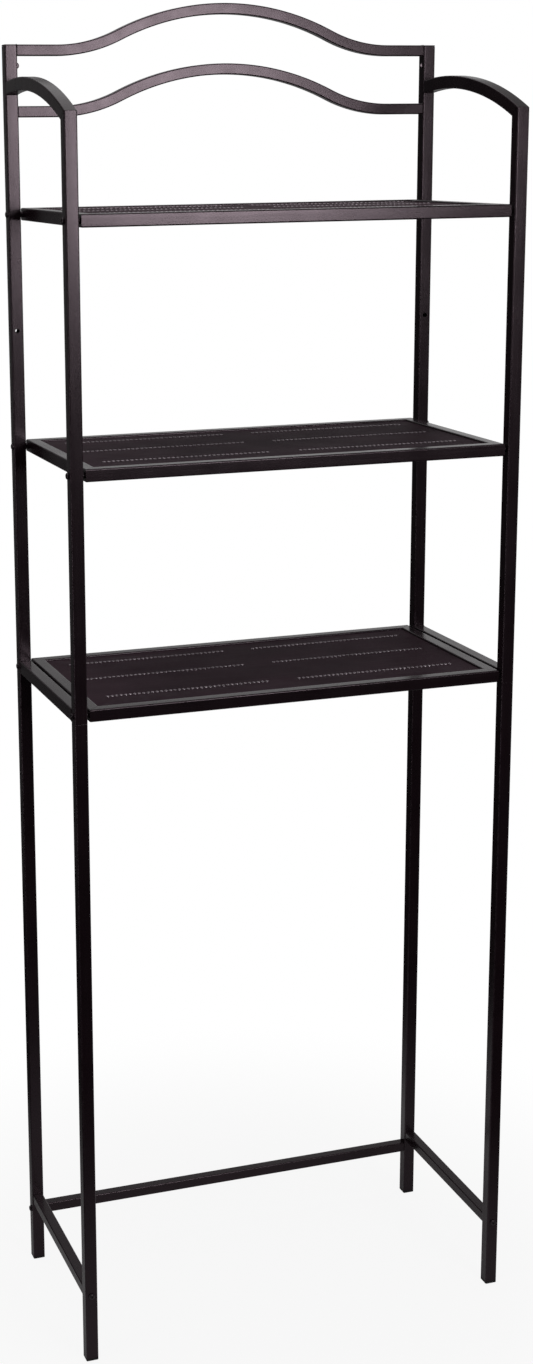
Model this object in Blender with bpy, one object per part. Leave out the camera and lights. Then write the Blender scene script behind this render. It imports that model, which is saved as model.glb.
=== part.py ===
"""Over-the-toilet storage rack: square-tube posts, arched top rails and three shelves.

Metres, +Z up. X runs across the rack, the front faces -Y, and the origin is on the floor
under the middle of the rack.
"""

import math

import bmesh
import bpy
from mathutils import Vector

# Overall sizes
WIDTH = 0.600             # across the outer faces of the posts
DEPTH = 0.285             # front faces of the front posts to rear faces of the rear posts
HEIGHT = 1.748            # floor to the crown of the upper back arch

# Tubes
TUBE = 0.0165             # posts, legs, side arches and upper side rails
SHELF_TUBE = 0.016        # shelf frames
SLIM_TUBE = 0.0141        # back arches, bottom rails and crossbar
WALL = 0.0009             # steel thickness of every tube
CORNER = 0.0015           # outer corner radius of every tube
CORNER_STEPS = 1          # faces round each tube corner
GAP = 0.0003              # between touching pieces

# Back arches
BACK_ARCH_RISE = 0.053    # crown above the straight ends
BACK_ARCH_STRAIGHT = 0.052   # straight end beside each rear post
BACK_ARCH_FOOT_RADIUS = 0.194    # hollow bend where the arch leaves its straight end
BACK_ARCH_STEPS = 6       # lengths of tube in each bend
LOWER_ARCH_DROP = 0.0764  # top of the lower arch below the top of the upper one

# Side arches
SIDE_ARCH_RADIUS = 0.487  # along the tube's middle
SIDE_ARCH_CROWN = 0.0636  # crown in front of the rear post's front face
SIDE_ARCH_DROP = 0.0865   # front edge of the mitre on the front posts below the rear posts' tops
SIDE_ARCH_STEPS = 14

# Shelves
SHELF_DROPS = {"lower": 0.806, "middle": 0.5064, "top": 0.2045}   # below the rear posts' tops
SHELF_SIDE_GAP = 0.003    # shelf frame to the posts beside it, filled by the bosses
SHELF_INSET = 0.003       # shelf frame's front face behind the posts' front faces
PANEL_DROP = 0.002        # panel below the top of its frame
PANEL_SHEET = 0.0008
PANEL_SKIRT = 0.008       # folded edge of the panel, measured from its top
BOSS_RADIUS = 0.004

# Joints between posts and legs
SPIGOT_LENGTH = 0.035
SPIGOT_WALL = 0.0012

# Bottom rails
SIDE_RAIL_TOP = 0.101
CROSSBAR_DROP = 0.0176    # top of the rear crossbar below the tops of the side rails

# Caps
FOOT_CAP = 0.003          # thickness below the leg
POST_CAP = 0.0015         # thickness above the post
CAP_PLUG = 0.012          # length inside the tube

# Bolts, plugs and holes
BOLT_RADIUS = 0.0025
BOLT_CLEARANCE = 0.0003
BOLT_SETBACK = 0.0105     # shelf bolts' axes behind the posts' faces
BOLT_REACH = 0.006        # past the face that the bolt screws into
HEAD_RADIUS = 0.0048
HEAD_HEIGHT = 0.0026
HEAD_RIM = 0.0008         # straight rim under the dome
DOME_STEPS = 2
ROUND_STEPS = 12
WALL_SCREW_RADIUS = 0.003
WALL_SCREW_DROP = 0.362   # holes for wall screws below the rear posts' tops
PLUG_DROP = 0.0262        # domed plugs on the rear posts' inner faces below the posts' tops
PLUG_HEAD = 0.0022
PLUG_STEM = 0.004

SHARP_ANGLE = math.radians(40)   # edges that turn further than this stay sharp

# Places worked out from the sizes above
REAR_POST_TOP = HEIGHT - BACK_ARCH_RISE
FRONT_POST_TOP = REAR_POST_TOP - SIDE_ARCH_DROP
SHELF_TOPS = {level: REAR_POST_TOP - drop for level, drop in SHELF_DROPS.items()}
CROSSBAR_TOP = SIDE_RAIL_TOP - CROSSBAR_DROP
POST_X = (WIDTH - TUBE) / 2
POST_Y = (DEPTH - TUBE) / 2
INNER_X = WIDTH / 2 - TUBE
INNER_Y = DEPTH / 2 - TUBE
RAIL_TOP = SHELF_TOPS["lower"]
RAIL_BOTTOM = RAIL_TOP - TUBE
FRAME_X = INNER_X - SHELF_SIDE_GAP
FRAME_Y = DEPTH / 2 - SHELF_INSET
MITRE_CUT = GAP * math.sqrt(0.5)

X = Vector((1, 0, 0))
Y = Vector((0, 1, 0))
Z = Vector((0, 0, 1))
SIDES = (("left", -1), ("right", 1))
ENDS = (("front", -1), ("rear", 1))

BRONZE = ((0.040, 0.031, 0.034), 0.38, 0.55)
PANEL_BRONZE = ((0.033, 0.026, 0.029), 0.45, 0.50)
BOLT_STEEL = ((0.030, 0.028, 0.029), 0.30, 0.80)
BLACK_PLASTIC = ((0.014, 0.013, 0.014), 0.55, 0.0)


def clear_scene():
    """Remove every object that the scene starts with."""
    for item in list(bpy.data.objects):
        bpy.data.objects.remove(item, do_unlink=True)


def finish_material(node, finish):
    """Principled material of one node; finish is colour, roughness and metallic value."""
    colour, roughness, metallic = finish
    made = bpy.data.materials.new(f"{node}_finish")
    made.use_nodes = True
    shader = made.node_tree.nodes["Principled BSDF"]
    shader.inputs["Base Color"].default_value = (*colour, 1.0)
    shader.inputs["Roughness"].default_value = roughness
    shader.inputs["Metallic"].default_value = metallic
    return made


def add_object(name, bm, finish, cutter=False):
    """Turn a bmesh into a linked object with outward faces, smooth where it is round."""
    bmesh.ops.recalc_face_normals(bm, faces=bm.faces)
    mesh = bpy.data.meshes.new(name)
    bm.to_mesh(mesh)
    bm.free()
    mesh.shade_smooth()
    mesh.set_sharp_from_angle(angle=SHARP_ANGLE)
    made = bpy.data.objects.new(name, mesh)
    bpy.context.collection.objects.link(made)
    if cutter:
        made.hide_render = True
        made.display_type = "WIRE"
    else:
        mesh.materials.append(finish_material(name, finish))
    return made


def square_profile(half, radius):
    """Points (u, v) round a square of the given half width with rounded corners."""
    points = []
    middle = half - radius
    for quarter in range(4):
        start = quarter * math.pi / 2
        cu = middle * (1 if quarter in (0, 3) else -1)
        cv = middle * (1 if quarter in (0, 1) else -1)
        for step in range(CORNER_STEPS + 1):
            angle = start + step / CORNER_STEPS * math.pi / 2
            points.append((cu + radius * math.cos(angle), cv + radius * math.sin(angle)))
    return points


def tube_profiles(size):
    """Outer and inner profile of a tube of the given outer size."""
    return (square_profile(size / 2, CORNER), square_profile(size / 2 - WALL, CORNER - WALL))


def place(profile, centre, across, up):
    """Put a profile into space with its u axis along across and its v axis along up."""
    return [centre + across * u + up * v for u, v in profile]


def skin(bm, rings):
    """Faces along a row of rings with the same number of points; returns the end loops."""
    loops = [[bm.verts.new(point) for point in ring] for ring in rings]
    for low, high in zip(loops, loops[1:]):
        join_loops(bm, low, high)
    return loops[0], loops[-1]


def join_loops(bm, low, high):
    """Quads between two closed loops."""
    for index, vert in enumerate(low):
        after = (index + 1) % len(low)
        bm.faces.new((vert, low[after], high[after], high[index]))


def hollow(name, outer_rings, inner_rings, finish):
    """Open-ended tube from its outer and inner rings."""
    bm = bmesh.new()
    outer_start, outer_end = skin(bm, outer_rings)
    inner_start, inner_end = skin(bm, inner_rings)
    join_loops(bm, outer_start, inner_start)
    join_loops(bm, outer_end, inner_end)
    return add_object(name, bm, finish)


def solid(name, rings, finish):
    """Closed piece from a row of rings, with flat ends."""
    bm = bmesh.new()
    start, end = skin(bm, rings)
    bm.faces.new(start)
    bm.faces.new(end)
    return add_object(name, bm, finish)


def turned(name, outline, base, axis, finish, cutter=False):
    """Round piece from an outline of (radius, distance along axis) pairs."""
    across = axis.orthogonal().normalized()
    other = axis.cross(across)
    turns = [2 * math.pi * step / ROUND_STEPS for step in range(ROUND_STEPS)]
    spokes = [across * math.cos(turn) + other * math.sin(turn) for turn in turns]
    rings = [[base + axis * along + spoke * radius for spoke in spokes]
             for radius, along in outline]
    bm = bmesh.new()
    start, end = skin(bm, rings)
    bm.faces.new(start)
    bm.faces.new(end)
    return add_object(name, bm, finish, cutter)


def boolean(target, tool, operation):
    """Cut or join a tool with a target; both are closed, as the manifold solver needs."""
    step = target.modifiers.new(f"{operation.lower()}_{tool.name}", "BOOLEAN")
    step.operation = operation
    step.solver = "MANIFOLD"
    step.object = tool


def straight_tube(name, size, start, end, across, up, finish=BRONZE):
    """Tube between two points, square to its length."""
    outer, inner = tube_profiles(size)
    return hollow(name,
                  [place(outer, point, across, up) for point in (start, end)],
                  [place(inner, point, across, up) for point in (start, end)], finish)


# Posts and legs

def side_arch_centre():
    """Middle (y, z) of the circle that the side arches follow."""
    y = INNER_Y - SIDE_ARCH_CROWN
    z = FRONT_POST_TOP - circle_height(SIDE_ARCH_RADIUS + TUBE / 2, y + DEPTH / 2)
    return y, z


def circle_height(radius, across):
    """Height of a circle over its middle at a distance across."""
    return math.sqrt(radius ** 2 - across ** 2)


def mitre_slope():
    """Rise per unit of y of the joint plane between side arch and front post."""
    centre_y, centre_z = side_arch_centre()
    inner_z = centre_z + circle_height(SIDE_ARCH_RADIUS - TUBE / 2, centre_y + INNER_Y)
    return (inner_z - FRONT_POST_TOP) / TUBE


def mitre_height(y):
    """Height of the joint plane at y."""
    return FRONT_POST_TOP + mitre_slope() * (y + DEPTH / 2)


def rear_post(side, sign):
    """Upper rear post, from the leg joint to its cap."""
    x = sign * POST_X
    return straight_tube(f"rear_post_{side}", TUBE, Vector((x, POST_Y, RAIL_TOP + GAP)),
                         Vector((x, POST_Y, REAR_POST_TOP - POST_CAP - GAP)), X, Y)


def front_post(side, sign):
    """Upper front post, its top cut to the side arch's mitre."""
    rings = []
    for profile in tube_profiles(TUBE):
        foot = place(profile, Vector((sign * POST_X, -POST_Y, RAIL_BOTTOM)), X, Y)
        top = [Vector((point.x, point.y, mitre_height(point.y))) for point in foot]
        rings.append((foot, top))
    return hollow(f"front_post_{side}", rings[0], rings[1], BRONZE)


def leg(name, x, y, top):
    """Lower leg whose reduced top end plugs into the post above it."""
    outer, inner = tube_profiles(TUBE)
    spigot_half = TUBE / 2 - WALL - GAP
    spigot = square_profile(spigot_half, CORNER - WALL)
    bore = square_profile(spigot_half - SPIGOT_WALL, CORNER - WALL)
    foot = FOOT_CAP + GAP
    outer_stack = ((outer, foot), (outer, top), (spigot, top), (spigot, top + SPIGOT_LENGTH))
    inner_stack = ((inner, foot), (inner, top - WALL), (bore, top - WALL),
                   (bore, top + SPIGOT_LENGTH))
    stacks = [[place(profile, Vector((x, y, z)), X, Y) for profile, z in stack]
              for stack in (outer_stack, inner_stack)]
    return hollow(name, stacks[0], stacks[1], BRONZE)


def cap(name, x, y, face, seat, plug_end, finish):
    """Cap with a plate from its face to the tube's end and a plug inside the tube."""
    plate = square_profile(TUBE / 2, CORNER)
    plug = square_profile(TUBE / 2 - WALL - GAP, CORNER - WALL)
    stack = ((plate, face), (plate, seat), (plug, seat), (plug, plug_end))
    return solid(name, [place(profile, Vector((x, y, z)), X, Y) for profile, z in stack], finish)


# Arches

def side_arch(side, sign):
    """Side arch, cut flat at the rear post and mitred at the front post."""
    centre_y, centre_z = side_arch_centre()
    rear_y = INNER_Y - GAP
    slope = math.atan(mitre_slope())
    reach = FRONT_POST_TOP + GAP - centre_z + mitre_slope() * (centre_y + DEPTH / 2)

    def arch_line(u, v):
        radius = SIDE_ARCH_RADIUS + v
        start = math.asin((centre_y - rear_y) / radius)
        end = slope + math.acos(reach * math.cos(slope) / radius)
        angles = [start + (end - start) * step / SIDE_ARCH_STEPS
                  for step in range(SIDE_ARCH_STEPS + 1)]
        return [Vector((sign * POST_X + u, centre_y - radius * math.sin(angle),
                        centre_z + radius * math.cos(angle))) for angle in angles]

    skins = []
    for profile in tube_profiles(TUBE):
        lines = [arch_line(u, v) for u, v in profile]
        skins.append([list(ring) for ring in zip(*lines)])
    return hollow(f"side_arch_{side}", skins[0], skins[1], BRONZE)


def back_arch_path(top):
    """Places (x, z, slope angle) along the middle of a back arch whose ends' top is given."""
    foot_x = INNER_X - BACK_ARCH_STRAIGHT
    end_x = INNER_X - GAP
    base = top - SLIM_TUBE / 2
    turn = 2 * math.atan(BACK_ARCH_RISE / foot_x)
    crown_radius = foot_x / math.sin(turn) - BACK_ARCH_FOOT_RADIUS
    half = []
    for step in range(BACK_ARCH_STEPS):
        angle = turn * step / BACK_ARCH_STEPS
        drop = crown_radius * (1 - math.cos(angle))
        half.append((crown_radius * math.sin(angle), base + BACK_ARCH_RISE - drop, -angle))
    for step in range(BACK_ARCH_STEPS + 1):
        angle = turn * (1 - step / BACK_ARCH_STEPS)
        lift = BACK_ARCH_FOOT_RADIUS * (1 - math.cos(angle))
        half.append((foot_x - BACK_ARCH_FOOT_RADIUS * math.sin(angle), base + lift, -angle))
    half.append((end_x, base, 0.0))
    other_half = [(-x, z, -angle) for x, z, angle in half[:0:-1]]
    return other_half + half


def back_arch(name, top):
    """Camel-back arch between the rear posts."""
    path = back_arch_path(top)
    skins = []
    for profile in tube_profiles(SLIM_TUBE):
        skins.append([place(profile, Vector((x, POST_Y, z)), Y,
                            Vector((-math.sin(angle), 0, math.cos(angle))))
                      for x, z, angle in path])
    return hollow(name, skins[0], skins[1], BRONZE)


# Shelves

def mitred_bar(name, along, outward, reach, offset, middle_z):
    """Shelf frame bar; its outer face is offset from the middle and reaches both ways."""
    skins = []
    for profile in tube_profiles(SHELF_TUBE):
        rings = []
        for end in (-1, 1):
            rings.append([along * end * (reach - SHELF_TUBE / 2 + u - MITRE_CUT)
                          + outward * (offset - SHELF_TUBE / 2 + u) + Z * (middle_z + v)
                          for u, v in profile])
        skins.append(rings)
    return hollow(name, skins[0], skins[1], BRONZE)


def shelf_panel(name, top):
    """Sheet panel with its edges folded down, open underneath."""
    half_x = FRAME_X - SHELF_TUBE - GAP
    half_y = FRAME_Y - SHELF_TUBE - GAP
    face = top - PANEL_DROP
    hem = face - PANEL_SKIRT

    def rectangle(inset, z):
        x = half_x - inset
        y = half_y - inset
        return [Vector(point) for point in ((-x, -y, z), (x, -y, z), (x, y, z), (-x, y, z))]

    rings = [rectangle(0, face), rectangle(0, hem), rectangle(PANEL_SHEET, hem),
             rectangle(PANEL_SHEET, face - PANEL_SHEET)]
    return solid(name, rings, PANEL_BRONZE)


def shelf(level, top):
    """One shelf: a mitred frame of four bars and the panel inside it."""
    middle = top - SHELF_TUBE / 2
    for end, sign in ENDS:
        mitred_bar(f"shelf_{level}_{end}_bar", X, Y * sign, FRAME_X, FRAME_Y, middle)
    for side, sign in SIDES:
        bar = mitred_bar(f"shelf_{level}_{side}_bar", Y, X * sign, FRAME_Y, FRAME_X, middle)
        for end, end_sign in ENDS:
            seat = Vector((sign * (FRAME_X - WALL / 2), end_sign * (DEPTH / 2 - BOLT_SETBACK),
                           middle))
            length = SHELF_SIDE_GAP - GAP + WALL / 2
            boss = turned(f"boss_{level}_{side}_{end}", ((BOSS_RADIUS, 0), (BOSS_RADIUS, length)),
                          seat, X * sign, None, cutter=True)
            boolean(bar, boss, "UNION")
    shelf_panel(f"shelf_{level}_panel", top)


# Bolts

def bolt(name, seat, axis, length, height, through):
    """Domed bolt with its head on the seat, its shank running against axis in the pieces."""
    rim = GAP + HEAD_RIM
    outline = [(BOLT_RADIUS, -length), (BOLT_RADIUS, GAP), (HEAD_RADIUS, GAP), (HEAD_RADIUS, rim)]
    for step in range(1, DOME_STEPS + 1):
        angle = step / (DOME_STEPS + 0.5) * math.pi / 2   # stops short of the crown, at a flat
        outline.append((HEAD_RADIUS * math.cos(angle),
                        rim + (height - HEAD_RIM) * math.sin(angle)))
    turned(name, outline, seat, axis, BOLT_STEEL)
    bore = BOLT_RADIUS + BOLT_CLEARANCE
    hole = turned(f"{name}_hole", ((bore, -length - BOLT_RADIUS), (bore, BOLT_RADIUS)),
                  seat, axis, None, cutter=True)
    for piece in through:
        boolean(piece, hole, "DIFFERENCE")


def shelf_bolts(level, top):
    """Four bolts through the posts into one shelf's side bars."""
    pieces = bpy.data.objects
    for side, sign in SIDES:
        for end, end_sign in ENDS:
            seat = Vector((sign * WIDTH / 2, end_sign * (DEPTH / 2 - BOLT_SETBACK),
                           top - SHELF_TUBE / 2))
            through = [pieces[f"shelf_{level}_{side}_bar"]]
            in_leg = level == "lower"
            if not in_leg or end == "front":
                through.append(pieces[f"{end}_post_{side}"])
            if in_leg:
                through.append(pieces[f"{end}_leg_{side}"])
            bolt(f"bolt_{level}_{end}_{side}", seat, X * sign,
                 TUBE + SHELF_SIDE_GAP + BOLT_REACH, HEAD_HEIGHT, through)


def bottom_bolts():
    """Bolts that hold the bottom side rails and the rear crossbar to the legs."""
    pieces = bpy.data.objects
    for side, sign in SIDES:
        for end, end_sign in ENDS:
            seat = Vector((sign * POST_X, end_sign * DEPTH / 2, SIDE_RAIL_TOP - SLIM_TUBE / 2))
            bolt(f"bolt_rail_{end}_{side}", seat, Y * end_sign, TUBE + BOLT_REACH,
                 HEAD_HEIGHT, [pieces[f"{end}_leg_{side}"]])
        seat = Vector((sign * WIDTH / 2, POST_Y, CROSSBAR_TOP - SLIM_TUBE / 2))
        bolt(f"bolt_crossbar_{side}", seat, X * sign, TUBE + BOLT_REACH, HEAD_HEIGHT,
             [pieces[f"rear_leg_{side}"]])


def post_plugs():
    """Small domed plugs in the inner faces of the rear posts, between the back arches."""
    for side, sign in SIDES:
        seat = Vector((sign * INNER_X, POST_Y, REAR_POST_TOP - PLUG_DROP))
        bolt(f"post_plug_{side}", seat, -X * sign, PLUG_STEM, PLUG_HEAD,
             [bpy.data.objects[f"rear_post_{side}"]])


def wall_screw_holes():
    """Holes from front to back through the rear posts for screws into the wall."""
    for side, sign in SIDES:
        middle = Vector((sign * POST_X, POST_Y, REAR_POST_TOP - WALL_SCREW_DROP))
        reach = TUBE / 2 + WALL_SCREW_RADIUS
        hole = turned(f"wall_hole_{side}",
                      ((WALL_SCREW_RADIUS, -reach), (WALL_SCREW_RADIUS, reach)),
                      middle, Y, None, cutter=True)
        boolean(bpy.data.objects[f"rear_post_{side}"], hole, "DIFFERENCE")


def build():
    """Model the whole rack."""
    clear_scene()
    for side, sign in SIDES:
        x = sign * POST_X
        rear_post(side, sign)
        front_post(side, sign)
        side_arch(side, sign)
        leg(f"rear_leg_{side}", x, POST_Y, RAIL_TOP)
        leg(f"front_leg_{side}", x, -POST_Y, RAIL_BOTTOM - GAP)
        cap(f"post_cap_{side}", x, POST_Y, REAR_POST_TOP, REAR_POST_TOP - POST_CAP,
            REAR_POST_TOP - POST_CAP - CAP_PLUG, BRONZE)
        for end, end_sign in ENDS:
            cap(f"foot_cap_{end}_{side}", x, end_sign * POST_Y, 0, FOOT_CAP,
                FOOT_CAP + CAP_PLUG, BLACK_PLASTIC)
        reach = INNER_Y - GAP
        for name, size, top in (("upper_side_rail", TUBE, RAIL_TOP),
                                ("bottom_side_rail", SLIM_TUBE, SIDE_RAIL_TOP)):
            middle = top - size / 2
            straight_tube(f"{name}_{side}", size, Vector((x, -reach, middle)),
                          Vector((x, reach, middle)), X, Z)
    back_arch("back_arch_upper", REAR_POST_TOP)
    back_arch("back_arch_lower", REAR_POST_TOP - LOWER_ARCH_DROP)
    crossbar_z = CROSSBAR_TOP - SLIM_TUBE / 2
    straight_tube("rear_crossbar", SLIM_TUBE, Vector((GAP - INNER_X, POST_Y, crossbar_z)),
                  Vector((INNER_X - GAP, POST_Y, crossbar_z)), Y, Z)
    for level, top in SHELF_TOPS.items():
        shelf(level, top)
        shelf_bolts(level, top)
    bottom_bolts()
    post_plugs()
    wall_screw_holes()


build()
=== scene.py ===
"""Over-the-toilet storage rack in dark bronze powder coat, on a pale studio floor.

Metres, +Z up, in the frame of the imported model: the rack's front faces -Y and its feet stand
on the floor at z = 0.
"""

import logging
import math
from collections.abc import Callable, Iterable
from dataclasses import dataclass
from enum import Enum

import bmesh
import bpy
from bmesh.types import BMEdge, BMesh, BMVert
from bpy.types import Material, Node, NodeSocket, NodeTree, Object, Scene
from mathutils import Matrix, Vector


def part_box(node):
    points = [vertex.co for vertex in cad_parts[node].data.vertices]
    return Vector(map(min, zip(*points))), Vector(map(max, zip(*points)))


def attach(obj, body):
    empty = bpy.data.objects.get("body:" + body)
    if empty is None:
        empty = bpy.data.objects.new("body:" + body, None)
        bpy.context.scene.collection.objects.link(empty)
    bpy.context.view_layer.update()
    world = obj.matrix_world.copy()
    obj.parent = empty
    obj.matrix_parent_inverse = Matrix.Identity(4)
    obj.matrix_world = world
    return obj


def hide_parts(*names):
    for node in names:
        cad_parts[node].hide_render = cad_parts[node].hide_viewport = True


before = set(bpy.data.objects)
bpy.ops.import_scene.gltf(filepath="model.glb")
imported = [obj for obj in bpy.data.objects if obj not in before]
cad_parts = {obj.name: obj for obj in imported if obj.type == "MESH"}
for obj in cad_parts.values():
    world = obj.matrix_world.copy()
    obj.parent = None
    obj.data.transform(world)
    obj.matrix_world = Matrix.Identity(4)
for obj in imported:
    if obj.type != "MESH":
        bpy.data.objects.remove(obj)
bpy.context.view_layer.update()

Three = tuple[float, float, float]
Colour = Three
Pair = tuple[float, float]

BODY = "root"
X = Vector((1.0, 0.0, 0.0))
Y = Vector((0.0, 1.0, 0.0))
Z = Vector((0.0, 0.0, 1.0))
SIDES = ("left", "right")
ENDS = ("front", "rear")
LEVELS = ("lower", "middle", "top")
WHITE = (1.0, 1.0, 1.0, 1.0)

GAP = 0.0003            # between pieces that touch
SHARP_ANGLE = math.radians(35)
MERGE = 1e-6
HOLD_APART = 0.01       # between two rings while they are bridged
FLAT_WEIGHT = 100       # how far large faces outweigh small ones in the shading
EDGE_FACE = "edge_face"

log = logging.getLogger("rack")


class Wiring:
    """Shader nodes of one tree, added and joined by short calls."""

    def __init__(self, tree: NodeTree) -> None:
        """Work on a node tree."""
        self.tree = tree

    def node(self, kind: str, inputs: dict | None = None, **settings: object) -> Node:
        """Add a node, set its options, and fill or link its inputs.

        Args:
            kind: node type without the ShaderNode prefix.
            inputs: input name or index to a value, or to the socket that feeds it.
            **settings: the node's own options.

        Returns:
            The new node.
        """
        made = self.tree.nodes.new(f"ShaderNode{kind}")
        for option, value in settings.items():
            setattr(made, option, value)
        for key, value in (inputs or {}).items():
            if isinstance(value, NodeSocket):
                self.tree.links.new(value, made.inputs[key])
            else:
                made.inputs[key].default_value = value
        return made

    def math(self, operation: str, *values: NodeSocket | float) -> NodeSocket:
        """Result of a Math node on the given values."""
        return self.node("Math", dict(enumerate(values)), operation=operation).outputs["Value"]

    def vector(self, operation: str, *values: NodeSocket | Three) -> NodeSocket:
        """Result of a Vector Math node, a number for a length or a dot product."""
        made = self.node("VectorMath", dict(enumerate(values)), operation=operation)
        return made.outputs["Value" if operation in ("LENGTH", "DOT_PRODUCT") else "Vector"]

    def ramp(
        self, value: NodeSocket, ends: Pair, to: Pair = (0.0, 1.0), smooth: bool = False
    ) -> NodeSocket:
        """Map a value from one range to another, clamped at both ends.

        Args:
            value: the value.
            ends: the range that it comes from.
            to: the range that it goes to.
            smooth: whether it eases in and out.

        Returns:
            The mapped value.
        """
        inputs = dict(zip(("From Min", "From Max", "To Min", "To Max"), (*ends, *to)))
        kind = "SMOOTHSTEP" if smooth else "LINEAR"
        made = self.node("MapRange", {"Value": value, **inputs}, interpolation_type=kind)
        return made.outputs["Result"]

    def noise(
        self,
        vector: NodeSocket,
        scale: NodeSocket | float,
        detail: float,
        roughness: float = 0.5,
    ) -> NodeSocket:
        """Noise value at a place.

        Args:
            vector: the place.
            scale: how many features there are in a metre.
            detail: octaves of finer noise.
            roughness: how strong the finer octaves are.

        Returns:
            The noise, about 0.5 on average.
        """
        inputs = {"Vector": vector, "Scale": scale, "Detail": detail, "Roughness": roughness}
        return self.node("TexNoise", inputs).outputs["Fac"]

    def blend(
        self, share: NodeSocket, first: NodeSocket | tuple, second: NodeSocket | tuple
    ) -> NodeSocket:
        """Mix of two colours, the second one at the given share."""
        inputs = {"Factor": share, "A": first, "B": second}
        return self.node("Mix", inputs, data_type="RGBA").outputs["Result"]

    def mix(self, share: NodeSocket, first: NodeSocket, second: NodeSocket) -> NodeSocket:
        """Mix of two shaders, the second one at the given share."""
        return self.node("MixShader", {0: share, 1: first, 2: second}).outputs["Shader"]

    def join(self, source: NodeSocket, target: NodeSocket) -> None:
        """Link two sockets."""
        self.tree.links.new(source, target)


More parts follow.
